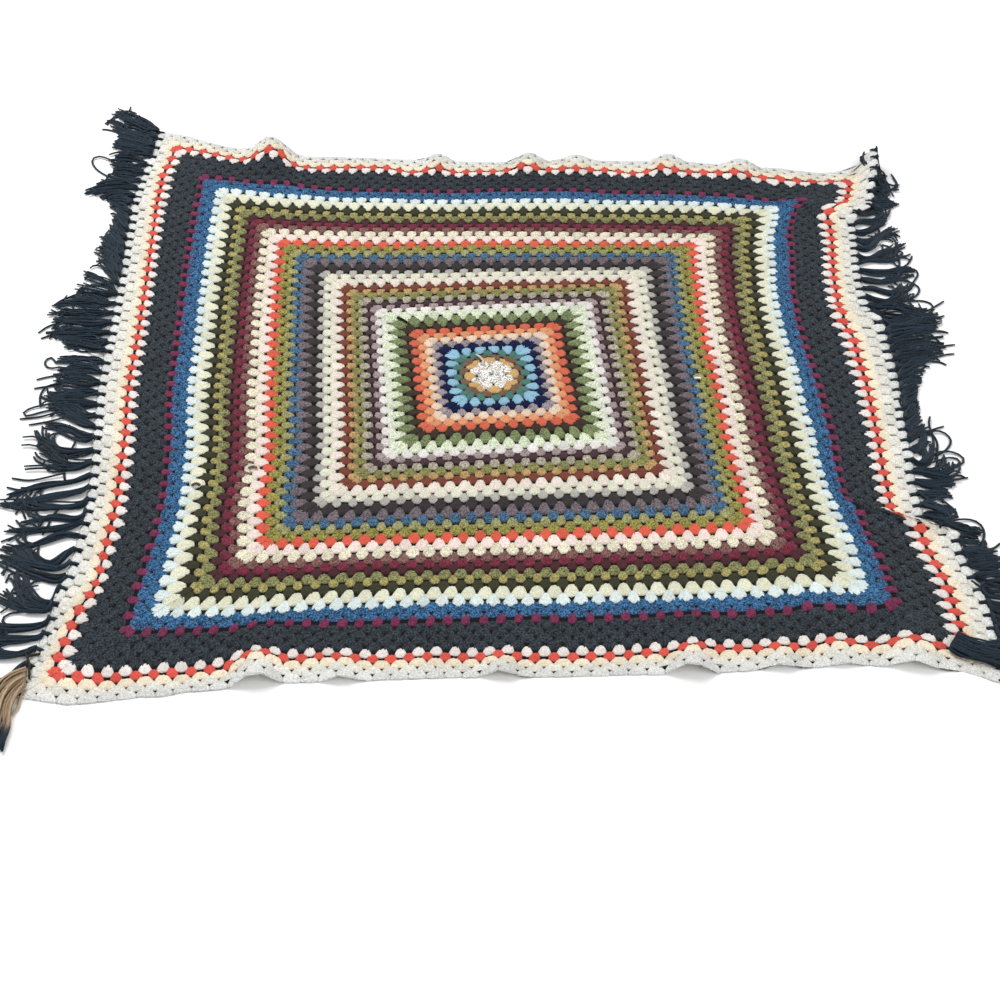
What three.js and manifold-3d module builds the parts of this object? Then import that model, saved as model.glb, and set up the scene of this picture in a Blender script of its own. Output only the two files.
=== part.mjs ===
// Granny square blanket, crocheted in rounds from the middle out, with tassels knotted
// along its left and right edges. It lies open on a flat surface, as it was put down.
//
// Millimetres, +Z up. The origin is the middle of the cloth, on the surface under it.
// -Y is the near edge, +Y the far edge, and the tassels point to -X and +X.
//
// "Flat" positions are those of the cloth before it was laid: x and y from the middle,
// each within HALF. laid() turns a flat position into the place where the cloth lies.

import * as THREE from 'three';
import { mergeVertices } from 'three/addons/utils/BufferGeometryUtils.js';
import Module from 'manifold-3d';

// The cloth: rounds of crochet, each a low rib between two valleys.
const ROUNDS = 52;
const ROUND_HEIGHT = 12.5;
const HALF = ROUNDS * ROUND_HEIGHT;
const THICKNESS = 4;
const RIB_HEIGHT = 1.2;

// Each round was worked in the same direction, so the middle is turned anticlockwise.
const TWIST = THREE.MathUtils.degToRad(7.5);
const TWIST_FADE = 1.6;

// How far the laid cloth departs from a true square, in mm.
// around: 0 at the near left corner, 2 near right, 4 far right, 6 far left, 8 near left.
// midX, midY: the shift of round MID_ROUND; edgeX, edgeY: the shift of the last round.
const MID_ROUND = 43;
const OUTLINE = [
  { around: 0.0, midX: 0, midY: -21, edgeX: 1, edgeY: -26 },
  { around: 0.1, midX: -2, midY: -20, edgeX: 5, edgeY: -37 },
  { around: 0.25, midX: -4, midY: -18, edgeX: 7, edgeY: -24 },
  { around: 0.38, midX: -2, midY: -12, edgeX: 5, edgeY: -12 },
  { around: 0.5, midX: 0, midY: -6, edgeX: 3, edgeY: 2 },
  { around: 1.0, midX: 0, midY: 0, edgeX: 0, edgeY: 13 },
  { around: 1.4, midX: 4, midY: 9, edgeX: 8, edgeY: 20 },
  { around: 1.6, midX: 7, midY: 14, edgeX: 13, edgeY: 30 },
  { around: 1.75, midX: 12, midY: 18, edgeX: 18, edgeY: 37 },
  { around: 1.92, midX: 30, midY: 30, edgeX: 30, edgeY: 27 },
  { around: 2.0, midX: 36, midY: 36, edgeX: 34, edgeY: 5 },
  { around: 2.2, midX: 31, midY: 20, edgeX: 37, edgeY: 4 },
  { around: 2.4, midX: 15, midY: 8, edgeX: 20, edgeY: 2 },
  { around: 2.6, midX: 8, midY: 2, edgeX: 20, edgeY: 0 },
  { around: 2.78, midX: 17, midY: 1, edgeX: 28, edgeY: -2 },
  { around: 3.0, midX: 16, midY: 0, edgeX: 38, edgeY: -6 },
  { around: 3.2, midX: 11, midY: -2, edgeX: 37, edgeY: -9 },
  { around: 3.4, midX: 14, midY: -4, edgeX: 34, edgeY: -14 },
  { around: 3.75, midX: 30, midY: -14, edgeX: 50, edgeY: -26 },
  { around: 4.0, midX: 56, midY: -29, edgeX: 72, edgeY: -36 },
  { around: 4.12, midX: 38, midY: -36, edgeX: 53, edgeY: -53 },
  { around: 4.25, midX: 20, midY: -26, edgeX: 34, edgeY: -38 },
  { around: 4.5, midX: 8, midY: -18, edgeX: 20, edgeY: -20 },
  { around: 4.8, midX: 2, midY: -8, edgeX: 8, edgeY: -20 },
  { around: 5.0, midX: 0, midY: 0, edgeX: 0, edgeY: -27 },
  { around: 5.5, midX: -2, midY: 2, edgeX: 2, edgeY: -15 },
  { around: 5.75, midX: -6, midY: 14, edgeX: 8, edgeY: -4 },
  { around: 6.0, midX: -6, midY: 34, edgeX: 5, edgeY: 49 },
  { around: 6.3, midX: -7, midY: 20, edgeX: -10, edgeY: 44 },
  { around: 7.0, midX: 0, midY: 4, edgeX: 5, edgeY: 23 },
  { around: 7.5, midX: 21, midY: -4, edgeX: 32, edgeY: 4 },
  { around: 7.8, midX: -4, midY: -12, edgeX: 24, edgeY: -10 },
];

// Ripples and pleats of the border, in mm.
// at: place of the crest along the side, +X on the near and far sides and +Y on the others.
// half: crest to foot; lift: height of the crest; reach: how far in from the edge it fades.
// slip: how far the cloth below "at" is pushed outward; skew: drift of the crest per mm inward.
const FOLDS = [
  { side: 'near', at: -337, half: 44, lift: 22, reach: 100, slip: 0, skew: 0 },
  { side: 'near', at: -220, half: 34, lift: 12, reach: 95, slip: 0, skew: 0 },
  { side: 'near', at: 4, half: 36, lift: 15, reach: 90, slip: 0, skew: 0 },
  { side: 'near', at: 260, half: 42, lift: 24, reach: 95, slip: 0, skew: 0 },
  { side: 'near', at: 384, half: 30, lift: 12, reach: 90, slip: 0, skew: 0 },
  { side: 'near', at: 466, half: 28, lift: 7, reach: 80, slip: 0, skew: 0 },
  { side: 'near', at: 552, half: 36, lift: 18, reach: 95, slip: 0, skew: 0 },
  { side: 'right', at: -350, half: 24, lift: 12, reach: 200, slip: 45, skew: 0.38 },
  { side: 'right', at: -190, half: 24, lift: 5, reach: 60, slip: 0, skew: 0 },
  { side: 'right', at: 165, half: 34, lift: 8, reach: 130, slip: 16, skew: 0.2 },
  { side: 'right', at: 485, half: 44, lift: 15, reach: 200, slip: -40, skew: 0.2 },
  { side: 'far', at: 650, half: 35, lift: 42, reach: 150, slip: 0, skew: 0 },
  { side: 'far', at: 440, half: 42, lift: 18, reach: 85, slip: 0, skew: 0 },
  { side: 'far', at: 314, half: 42, lift: 18, reach: 90, slip: 0, skew: 0 },
  { side: 'far', at: 150, half: 44, lift: 14, reach: 85, slip: 0, skew: 0 },
  { side: 'far', at: 64, half: 38, lift: 20, reach: 90, slip: 0, skew: 0 },
  { side: 'far', at: -105, half: 38, lift: 16, reach: 90, slip: 0, skew: 0 },
  { side: 'far', at: -424, half: 60, lift: 34, reach: 120, slip: 16, skew: 0 },
  { side: 'left', at: 430, half: 24, lift: 6, reach: 60, slip: 0, skew: 0 },
  { side: 'left', at: 30, half: 22, lift: 5, reach: 60, slip: 0, skew: 0 },
  { side: 'left', at: -175, half: 22, lift: 5, reach: 55, slip: 0, skew: 0 },
  { side: 'left', at: -480, half: 36, lift: 9, reach: 110, slip: 8, skew: -0.2 },
];

// The fringe: a tassel in each gap of the last round and in its corners, split in two locks.
const TASSEL_PITCH = 2 * ROUND_HEIGHT;
const CORNER_INSET = 5;
const EDGE_GAP = 0.5;
const STRIP_WIDTH = 6;
const STRIP_HEIGHT = 3;
const LOCK_STEPS = 4;
const LOCK_ROOT = { width: 4, height: 2.2, split: 3 };
const LOCK_TIP = { width: 2.4, height: 1.6, split: 6 };
const LOCK_SUNK = 3;
const LOCK_CLEAR = 0.4;
const LOCK_BEND = 1.4;

// How the locks lie: at is the flat Y of the root, out the reach beyond the edge,
// lean the drift of the tip to +Y, all in mm.
const FRINGE_LEFT = [
  { at: 640, out: 74, lean: 50 },
  { at: 590, out: 66, lean: 34 },
  { at: 560, out: 84, lean: 20 },
  { at: 500, out: 76, lean: 18 },
  { at: 460, out: 84, lean: 14 },
  { at: 400, out: 46, lean: 22 },
  { at: 310, out: 40, lean: 28 },
  { at: 200, out: 52, lean: 44 },
  { at: 168, out: 118, lean: -20 },
  { at: 90, out: 116, lean: 14 },
  { at: -40, out: 104, lean: 40 },
  { at: -160, out: 118, lean: 46 },
  { at: -212, out: 88, lean: 24 },
  { at: -238, out: 112, lean: -36 },
  { at: -330, out: 112, lean: -30 },
  { at: -400, out: 114, lean: -6 },
  { at: -475, out: 108, lean: 34 },
  { at: -515, out: 104, lean: 10 },
  { at: -560, out: 100, lean: -14 },
  { at: -640, out: 92, lean: -44 },
];
const FRINGE_RIGHT = [
  { at: 640, out: 36, lean: -40 },
  { at: 560, out: 30, lean: -24 },
  { at: 500, out: 44, lean: -8 },
  { at: 440, out: 66, lean: 8 },
  { at: 390, out: 78, lean: 26 },
  { at: 340, out: 72, lean: 40 },
  { at: 300, out: 90, lean: 18 },
  { at: 220, out: 84, lean: 26 },
  { at: 170, out: 96, lean: 30 },
  { at: 120, out: 80, lean: 34 },
  { at: 60, out: 90, lean: 36 },
  { at: 0, out: 66, lean: 38 },
  { at: -50, out: 38, lean: 32 },
  { at: -125, out: 30, lean: 22 },
  { at: -165, out: 62, lean: 16 },
  { at: -215, out: 88, lean: 12 },
  { at: -270, out: 74, lean: 10 },
  { at: -320, out: 50, lean: -4 },
  { at: -380, out: 60, lean: -12 },
  { at: -430, out: 72, lean: -14 },
  { at: -540, out: 68, lean: -30 },
  { at: -640, out: 62, lean: -48 },
];

// The near left corner's tassel lies towards -Y, and is split in three.
const CORNER_TASSEL = { locks: 3, spread: 7, out: 24, lean: -112 };

// Mesh density: stations to a side of a round, for the rounds beyond fromRound.
const ZONES = [
  { fromRound: 0, stationsPerSide: 4 },
  { fromRound: 18, stationsPerSide: 6 },
  { fromRound: 36, stationsPerSide: 8 },
];
const UNDERSIDE_ROUNDS = [36, 38, 40, 42, 44, 46, 48, 49, 50, 51, 52];
const STATION_GAP = 9;
const FOLD_STATIONS = [-1, -0.5, 0, 0.5, 1];
const FOLD_FADED = 0.9;

const YARN = {
  cloth: { color: 0x8a8f86, roughness: 0.95, metalness: 0 },
  fringe: { color: 0x1b2733, roughness: 0.95, metalness: 0 },
};

// Side numbers run anticlockwise from the near side, two units of "around" each.
const SIDES = ['near', 'right', 'far', 'left'];
const SIDE_UNITS = 2;
const AROUND_END = SIDES.length * SIDE_UNITS;

const wasm = await Module();
wasm.setup();

// ---- where the cloth lies ----

function smooth(t) {
  const s = THREE.MathUtils.clamp(t, 0, 1);
  return s * s * (3 - 2 * s);
}

// Position along a side and depth in from it, for a flat position.
function alongAndDepth(side, x, y) {
  if (side === 'near') return { along: x, depth: HALF + y };
  if (side === 'far') return { along: x, depth: HALF - y };
  if (side === 'left') return { along: y, depth: HALF + x };
  return { along: y, depth: HALF - x };
}

function outward(side) {
  if (side === 'near') return new THREE.Vector2(0, -1);
  if (side === 'far') return new THREE.Vector2(0, 1);
  if (side === 'left') return new THREE.Vector2(-1, 0);
  return new THREE.Vector2(1, 0);
}

// The place on a square ring of the given half size, by its "around" value.
function onRing(around, ringHalf) {
  const sideNumber = Math.min(Math.floor(around / SIDE_UNITS), SIDES.length - 1);
  const along = (around - sideNumber * SIDE_UNITS - 1) * ringHalf;
  if (sideNumber === 0) return new THREE.Vector2(along, -ringHalf);
  if (sideNumber === 1) return new THREE.Vector2(ringHalf, along);
  if (sideNumber === 2) return new THREE.Vector2(-along, ringHalf);
  return new THREE.Vector2(-ringHalf, -along);
}

function aroundOf(x, y) {
  const ring = Math.max(Math.abs(x), Math.abs(y), 1e-9);
  if (-y >= Math.abs(x)) return 1 + x / ring;
  if (x >= Math.abs(y)) return 3 + y / ring;
  if (y >= Math.abs(x)) return 5 - x / ring;
  return 7 - y / ring;
}

// A row of the outline between two rows of the table, eased so that the edge has no kinks.
function outlineShift(around) {
  let index = OUTLINE.length - 1;
  while (OUTLINE[index].around > around) index -= 1;
  const before = OUTLINE[index];
  const after = OUTLINE[(index + 1) % OUTLINE.length];
  const span = (after.around - before.around + AROUND_END) % AROUND_END;
  const share = smooth((around - before.around) / span);
  return {
    mid: new THREE.Vector2(
      THREE.MathUtils.lerp(before.midX, after.midX, share),
      THREE.MathUtils.lerp(before.midY, after.midY, share),
    ),
    edge: new THREE.Vector2(
      THREE.MathUtils.lerp(before.edgeX, after.edgeX, share),
      THREE.MathUtils.lerp(before.edgeY, after.edgeY, share),
    ),
  };
}

// The laid place of a flat position: x and y, and the height of the cloth's underside.
function laid(x, y) {
  const ring = Math.max(Math.abs(x), Math.abs(y)) / HALF;
  const place = new THREE.Vector2(x, y);
  place.rotateAround(new THREE.Vector2(0, 0), TWIST * (1 - ring) ** TWIST_FADE);

  const shift = outlineShift(aroundOf(x, y));
  const midRing = MID_ROUND / ROUNDS;
  if (ring < midRing) {
    place.addScaledVector(shift.mid, (ring / midRing) ** 3);
  } else {
    place.add(shift.mid.lerp(shift.edge, (ring - midRing) / (1 - midRing)));
  }

  let height = 0;
  for (const fold of FOLDS) {
    const { along, depth } = alongAndDepth(fold.side, x, y);
    if (depth >= fold.reach) continue;
    const fade = smooth(1 - depth / fold.reach);
    const fromCrest = along - fold.at - fold.skew * depth;
    if (Math.abs(fromCrest) < fold.half) {
      height += fold.lift * fade * Math.cos((Math.PI * fromCrest) / (2 * fold.half)) ** 2;
    }
    const pushed = smooth(0.5 - fromCrest / fold.half);
    place.addScaledVector(outward(fold.side), fold.slip * fade * pushed);
  }
  return new THREE.Vector3(place.x, place.y, height);
}

// ---- the cloth's solid ----

// Where the mesh lines cross a ring: even stations, and the crest and feet of each fold.
function ringStations(round) {
  const ringHalf = round * ROUND_HEIGHT;
  const zone = ZONES.filter((entry) => round > entry.fromRound).pop();
  const stations = [];
  SIDES.forEach((side, sideNumber) => {
    const found = [];
    for (const fold of FOLDS.filter((entry) => entry.side === side)) {
      const depth = HALF - ringHalf;
      if (depth >= fold.reach * FOLD_FADED) continue;
      for (const share of FOLD_STATIONS) {
        const along = fold.at + fold.skew * depth + share * fold.half;
        if (Math.abs(along) < ringHalf - STATION_GAP) found.push(along);
      }
    }
    for (let index = 1; index < zone.stationsPerSide; index += 1) {
      const along = ringHalf * ((2 * index) / zone.stationsPerSide - 1);
      if (found.every((other) => Math.abs(other - along) > 3 * STATION_GAP)) found.push(along);
    }
    const direction = side === 'near' || side === 'right' ? 1 : -1;
    const ordered = found.map((along) => along * direction).sort((a, b) => a - b);
    stations.push(sideNumber * SIDE_UNITS);
    let last = -ringHalf;
    for (const along of ordered) {
      if (along - last < STATION_GAP) continue;
      stations.push((sideNumber * SIDE_UNITS) + 1 + along / ringHalf);
      last = along;
    }
  });
  return stations;
}

// Joins two rings of points with a band of triangles, whatever their numbers of points.
function band(inner, outer, triangles, flip) {
  let i = 0;
  let j = 0;
  const aroundAt = (ring, index) => (index < ring.length ? ring[index].around : AROUND_END);
  while (i < inner.length || j < outer.length) {
    const innerNext = aroundAt(inner, i + 1);
    const outerNext = aroundAt(outer, j + 1);
    const a = inner[i % inner.length].index;
    const b = outer[j % outer.length].index;
    const stepOuter = j < outer.length && (i >= inner.length || outerNext <= innerNext);
    const c = stepOuter ? outer[(j + 1) % outer.length].index : inner[(i + 1) % inner.length].index;
    triangles.push(...(flip ? [a, c, b] : [a, b, c]));
    if (stepOuter) j += 1;
    else i += 1;
  }
}

function clothGeometry() {
  const positions = [];
  const triangles = [];
  let points = 0;
  const addPoint = (point) => {
    positions.push(point.x, point.y, point.z);
    points += 1;
    return points - 1;
  };
  const addRing = (round, stations, rise) => stations.map((around) => {
    const flat = onRing(around, round * ROUND_HEIGHT);
    const point = laid(flat.x, flat.y);
    point.z += rise;
    return { around, index: addPoint(point) };
  });
  const addFan = (centre, ring, flip) => ring.forEach((entry, index) => {
    const next = ring[(index + 1) % ring.length].index;
    triangles.push(...(flip ? [centre, next, entry.index] : [centre, entry.index, next]));
  });

  // The top: a rib along the middle of each round and a valley between rounds.
  const topCentre = addPoint(new THREE.Vector3(0, 0, THICKNESS - RIB_HEIGHT));
  let inner = null;
  for (let half = 1; half <= 2 * ROUNDS; half += 1) {
    const round = half / 2;
    const isRib = half % 2 === 1;
    const rise = isRib ? THICKNESS : THICKNESS - RIB_HEIGHT;
    const ring = addRing(round, ringStations(round), rise);
    if (inner) band(inner, ring, triangles, false);
    else addFan(topCentre, ring, false);
    inner = ring;
  }
  const topEdge = inner;

  // The underside: flat where the cloth lies, and following the folds near the edge.
  const underCentre = addPoint(new THREE.Vector3(0, 0, 0));
  inner = null;
  for (const round of UNDERSIDE_ROUNDS) {
    const ring = addRing(round, ringStations(round), 0);
    if (inner) band(inner, ring, triangles, true);
    else addFan(underCentre, ring, true);
    inner = ring;
  }
  band(inner, topEdge, triangles, true);

  const geometry = new THREE.BufferGeometry();
  geometry.setAttribute('position', new THREE.Float32BufferAttribute(positions, 3));
  geometry.setIndex(triangles);
  return geometry;
}

// ---- the fringes ----

// A closed tube of triangles through equal sections, with flat ends.
function sectionTube(sections) {
  const sides = sections[0].length;
  const positions = sections.flat().flatMap((point) => [point.x, point.y, point.z]);
  const triangles = [];
  for (let step = 0; step < sections.length - 1; step += 1) {
    for (let side = 0; side < sides; side += 1) {
      const a = step * sides + side;
      const b = step * sides + ((side + 1) % sides);
      triangles.push(a, b, b + sides, a, b + sides, a + sides);
    }
  }
  const last = (sections.length - 1) * sides;
  for (let side = 1; side < sides - 1; side += 1) {
    triangles.push(0, side + 1, side);
    triangles.push(last, last + side, last + side + 1);
  }
  const geometry = new THREE.BufferGeometry();
  geometry.setAttribute('position', new THREE.Float32BufferAttribute(positions, 3));
  geometry.setIndex(triangles);
  return geometry;
}

function toManifold(geometry) {
  const clean = geometry.clone();
  clean.deleteAttribute('normal');
  clean.deleteAttribute('uv');
  const merged = mergeVertices(clean, 1e-4);
  return new wasm.Manifold(new wasm.Mesh({
    numProp: 3,
    vertProperties: new Float32Array(merged.attributes.position.array),
    triVerts: new Uint32Array(merged.index.array),
  }));
}

function fromManifold(solid) {
  const mesh = solid.getMesh();
  const geometry = new THREE.BufferGeometry();
  geometry.setAttribute('position', new THREE.Float32BufferAttribute(mesh.vertProperties, 3));
  geometry.setIndex(Array.from(mesh.triVerts));
  return geometry;
}

// The laid edge of the left or right side, from -Y to +Y, at the cloth's own stations.
function edgeLine(side) {
  const sideNumber = SIDES.indexOf(side);
  const first = sideNumber * SIDE_UNITS;
  const stations = ringStations(ROUNDS).filter((a) => a >= first && a < first + SIDE_UNITS);
  stations.push(first + SIDE_UNITS);
  const flat = stations.map((around) => onRing(around, HALF));
  flat.sort((a, b) => a.y - b.y);
  return flat.map((point) => ({ flatY: point.y, place: laid(point.x, point.y) }));
}

// The point on an edge line at a flat Y, and the outward direction there.
function onEdge(line, flatY, sign) {
  let index = 0;
  while (index < line.length - 2 && line[index + 1].flatY < flatY) index += 1;
  const a = line[index];
  const b = line[index + 1];
  const share = (flatY - a.flatY) / (b.flatY - a.flatY);
  const place = a.place.clone().lerp(b.place, share);
  const run = b.place.clone().sub(a.place);
  const out = new THREE.Vector3(sign * run.y, -sign * run.x, 0).normalize();
  return { place, out };
}

// The mitred offset of an edge line's point, so that a strip keeps its width at bends.
function offsetPoint(line, index, sign, distance) {
  const before = line[Math.max(index - 1, 0)].place;
  const after = line[Math.min(index + 1, line.length - 1)].place;
  const here = line[index].place;
  const normalOf = (p, q) => new THREE.Vector3(sign * (q.y - p.y), -sign * (q.x - p.x), 0).normalize();
  const n1 = index === 0 ? normalOf(here, after) : normalOf(before, here);
  const n2 = index === line.length - 1 ? n1 : normalOf(here, after);
  const mitre = n1.clone().add(n2).normalize();
  mitre.multiplyScalar(distance / Math.max(mitre.dot(n1), 0.5));
  return here.clone().add(mitre);
}

function stripGeometry(line, sign) {
  const sections = line.map((entry, index) => {
    const near = offsetPoint(line, index, sign, EDGE_GAP);
    const far = offsetPoint(line, index, sign, EDGE_GAP + STRIP_WIDTH);
    const up = new THREE.Vector3(0, 0, STRIP_HEIGHT);
    return [near, near.clone().add(up), far.clone().add(up), far];
  });
  if (sign < 0) sections.forEach((section) => section.reverse());
  return sectionTube(sections);
}

// A value from one of the fringe tables, between its rows.
function fringeRow(table, flatY) {
  let index = 0;
  while (index < table.length - 2 && table[index + 1].at > flatY) index += 1;
  const a = table[index];
  const b = table[index + 1];
  const share = THREE.MathUtils.clamp((flatY - a.at) / (b.at - a.at), 0, 1);
  return {
    out: THREE.MathUtils.lerp(a.out, b.out, share),
    lean: THREE.MathUtils.lerp(a.lean, b.lean, share),
  };
}

// One lock of yarn: three sides, flat underneath, running from inside the strip to its tip.
function lockGeometry(root, out, lie, split, sign) {
  const start = root.clone().addScaledVector(out, EDGE_GAP + STRIP_WIDTH - LOCK_SUNK);
  const path = [];
  for (let step = 0; step <= LOCK_STEPS; step += 1) {
    const share = step / LOCK_STEPS;
    const spread = (LOCK_TIP.split - LOCK_ROOT.split) * share * split;
    const point = start.clone();
    point.x += sign * lie.out * share;
    point.y += lie.lean * share ** LOCK_BEND + spread;
    point.z = step === 0 ? root.z + LOCK_CLEAR : root.z * Math.max(0, 1 - 2 * share) ** 2;
    path.push({ point, share });
  }
  const sections = path.map(({ point, share }, index) => {
    const from = path[Math.max(index - 1, 0)].point;
    const to = path[Math.min(index + 1, path.length - 1)].point;
    const run = new THREE.Vector3(to.x - from.x, to.y - from.y, 0).normalize();
    const across = new THREE.Vector3(-run.y, run.x, 0);
    const width = THREE.MathUtils.lerp(LOCK_ROOT.width, LOCK_TIP.width, share);
    const height = THREE.MathUtils.lerp(LOCK_ROOT.height, LOCK_TIP.height, share);
    return [
      point.clone().addScaledVector(across, width / 2),
      point.clone().addScaledVector(across, -width / 2),
      point.clone().add(new THREE.Vector3(0, 0, height)),
    ];
  });
  sections.forEach((section) => section.reverse());
  return sectionTube(sections);
}

function cornerLocks(line, sign) {
  const locks = [];
  for (let index = 0; index < CORNER_TASSEL.locks; index += 1) {
    const root = line[0].place.clone();
    root.y += LOCK_SUNK / 2;
    const lie = {
      out: CORNER_TASSEL.out + index * CORNER_TASSEL.spread,
      lean: CORNER_TASSEL.lean + index * CORNER_TASSEL.spread,
    };
    locks.push(toManifold(lockGeometry(root, new THREE.Vector3(sign, 0, 0), lie, 0, sign)));
  }
  return locks;
}

// The flat Y of each tassel of one side, from the near corner to the far one.
function tasselPlaces() {
  const places = [CORNER_INSET - HALF];
  for (let gap = 1; gap < ROUNDS; gap += 1) places.push(gap * TASSEL_PITCH - HALF);
  places.push(HALF - CORNER_INSET);
  return places;
}

function fringeGeometry(side, table) {
  const sign = side === 'left' ? -1 : 1;
  const line = edgeLine(side);
  const pieces = [toManifold(stripGeometry(line, sign))];
  tasselPlaces().forEach((flatY, index) => {
    if (side === 'left' && index === 0) {
      pieces.push(...cornerLocks(line, sign));
      return;
    }
    for (const split of [-1, 1]) {
      const { place, out } = onEdge(line, flatY + split * LOCK_ROOT.split, sign);
      const lie = fringeRow(table, flatY + split * LOCK_TIP.split);
      pieces.push(toManifold(lockGeometry(place, out, lie, split, sign)));
    }
  });
  return fromManifold(wasm.Manifold.union(pieces));
}

// ---- the part ----

function piece(name, geometry, yarn) {
  const mesh = new THREE.Mesh(geometry, new THREE.MeshStandardMaterial(yarn));
  mesh.name = name;
  return mesh;
}

const blanket = new THREE.Group();
blanket.add(piece('cloth', clothGeometry(), YARN.cloth));
blanket.add(piece('fringe_left', fringeGeometry('left', FRINGE_LEFT), YARN.fringe));
blanket.add(piece('fringe_right', fringeGeometry('right', FRINGE_RIGHT), YARN.fringe));

export default blanket;
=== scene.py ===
"""Granny square blanket: rounds of crochet clusters, a sheet of painted shade behind their gaps,
two fringes.

Tables and sizes are in mm, in the frame of the part; meshes are made in metres.
"""
import math

import bpy
import numpy as np
from mathutils import Matrix, Vector


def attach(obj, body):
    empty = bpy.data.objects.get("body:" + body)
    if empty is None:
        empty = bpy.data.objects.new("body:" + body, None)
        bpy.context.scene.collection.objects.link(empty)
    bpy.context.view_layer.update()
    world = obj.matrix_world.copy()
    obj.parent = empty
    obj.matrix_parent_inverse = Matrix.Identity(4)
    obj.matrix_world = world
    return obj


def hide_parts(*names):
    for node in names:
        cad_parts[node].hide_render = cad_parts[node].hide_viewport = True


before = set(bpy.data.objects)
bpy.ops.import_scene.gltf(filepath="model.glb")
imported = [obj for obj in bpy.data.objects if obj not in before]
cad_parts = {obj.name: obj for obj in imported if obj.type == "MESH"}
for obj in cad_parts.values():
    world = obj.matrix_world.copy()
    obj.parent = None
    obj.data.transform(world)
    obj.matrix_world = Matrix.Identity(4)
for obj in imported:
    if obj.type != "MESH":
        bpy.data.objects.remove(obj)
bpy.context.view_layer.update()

MM = 0.001
chance = np.random.default_rng(52)

# ---- the laid cloth, as the part has it ----

ROUNDS = 52
ROUND_HEIGHT = 12.5
PITCH = 2 * ROUND_HEIGHT
HALF = ROUNDS * ROUND_HEIGHT
# The middle lies turned, less and less towards the edges.
TWIST = math.radians(7.5)
TWIST_FADE = 1.6
MID_RING = 43 / ROUNDS
INNER_POWER = 3
AROUND_END = 8

# The shifts grow from the middle to round 43, by the power above, and on to the last round:
# around (0 near left corner, 2 near right, 4 far right, 6 far left), shift of round 43 in
# x and y, shift of the last round in x and y.
OUTLINE = np.array([
    (0.0, 0, -21, 1, -26),
    (0.1, -2, -20, 5, -37),
    (0.25, -4, -18, 7, -24),
    (0.38, -2, -12, 5, -12),
    (0.5, 0, -6, 3, 2),
    (1.0, 0, 0, 0, 13),
    (1.4, 4, 9, 8, 20),
    (1.6, 7, 14, 13, 30),
    (1.75, 12, 18, 18, 37),
    (1.92, 30, 30, 30, 27),
    (2.0, 36, 36, 34, 5),
    (2.2, 31, 20, 37, 4),
    (2.4, 15, 8, 20, 2),
    (2.6, 8, 2, 20, 0),
    (2.78, 17, 1, 28, -2),
    (3.0, 16, 0, 38, -6),
    (3.2, 11, -2, 37, -9),
    (3.4, 14, -4, 34, -14),
    (3.75, 30, -14, 50, -26),
    (4.0, 56, -29, 72, -36),
    (4.12, 38, -36, 53, -53),
    (4.25, 20, -26, 34, -38),
    (4.5, 8, -18, 20, -20),
    (4.8, 2, -8, 8, -20),
    (5.0, 0, 0, 0, -27),
    (5.5, -2, 2, 2, -15),
    (5.75, -6, 14, 8, -4),
    (6.0, -6, 34, 5, 49),
    (6.3, -7, 20, -10, 44),
    (7.0, 0, 4, 5, 23),
    (7.5, 21, -4, 32, 4),
    (7.8, -4, -12, 24, -10),
    (8.0, 0, -21, 1, -26),
])

# side, place of the crest, crest to foot, height, reach inward, outward slip, skew.
FOLDS = [
    ("near", -337, 44, 22, 100, 0, 0),
    ("near", -220, 34, 12, 95, 0, 0),
    ("near", 4, 36, 15, 90, 0, 0),
    ("near", 260, 42, 24, 95, 0, 0),
    ("near", 384, 30, 12, 90, 0, 0),
    ("near", 466, 28, 7, 80, 0, 0),
    ("near", 552, 36, 18, 95, 0, 0),
    ("right", -350, 24, 12, 200, 45, 0.38),
    ("right", -190, 24, 5, 60, 0, 0),
    ("right", 165, 34, 8, 130, 16, 0.2),
    ("right", 485, 44, 15, 200, -40, 0.2),
    ("far", 650, 35, 42, 150, 0, 0),
    ("far", 440, 42, 18, 85, 0, 0),
    ("far", 314, 42, 18, 90, 0, 0),
    ("far", 150, 44, 14, 85, 0, 0),
    ("far", 64, 38, 20, 90, 0, 0),
    ("far", -105, 38, 16, 90, 0, 0),
    ("far", -424, 60, 34, 120, 16, 0),
    ("left", 430, 24, 6, 60, 0, 0),
    ("left", 30, 22, 5, 60, 0, 0),
    ("left", -175, 22, 5, 55, 0, 0),
    ("left", -480, 36, 9, 110, 8, -0.2),
]
OUTWARD = {"near": (0, -1), "right": (1, 0), "far": (0, 1), "left": (-1, 0)}

# Distance of each round's foot from the middle, and of the last one's edge: the yarns are
# not all of one thickness.
LINES = np.array([
    0, 16, 32, 40, 48, 59, 71, 82, 92, 103, 114, 126, 141, 157, 174, 185, 195, 204, 216, 228,
    238, 248, 264, 278, 289, 305, 320, 332, 344, 357, 369, 383, 398, 411, 421, 434, 445, 456,
    469, 486, 500, 513, 526, 540, 553, 567, 581, 594, 606, 617, 628, 639, 650,
])
# How far the inner rounds lie off the middle: the round, and its shift in x and y.
MIDDLE_SHIFT = np.array([(0, -6, 2), (15, -5.5, 0), (25, -3.5, -1), (32, 0, 0)])
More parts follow.
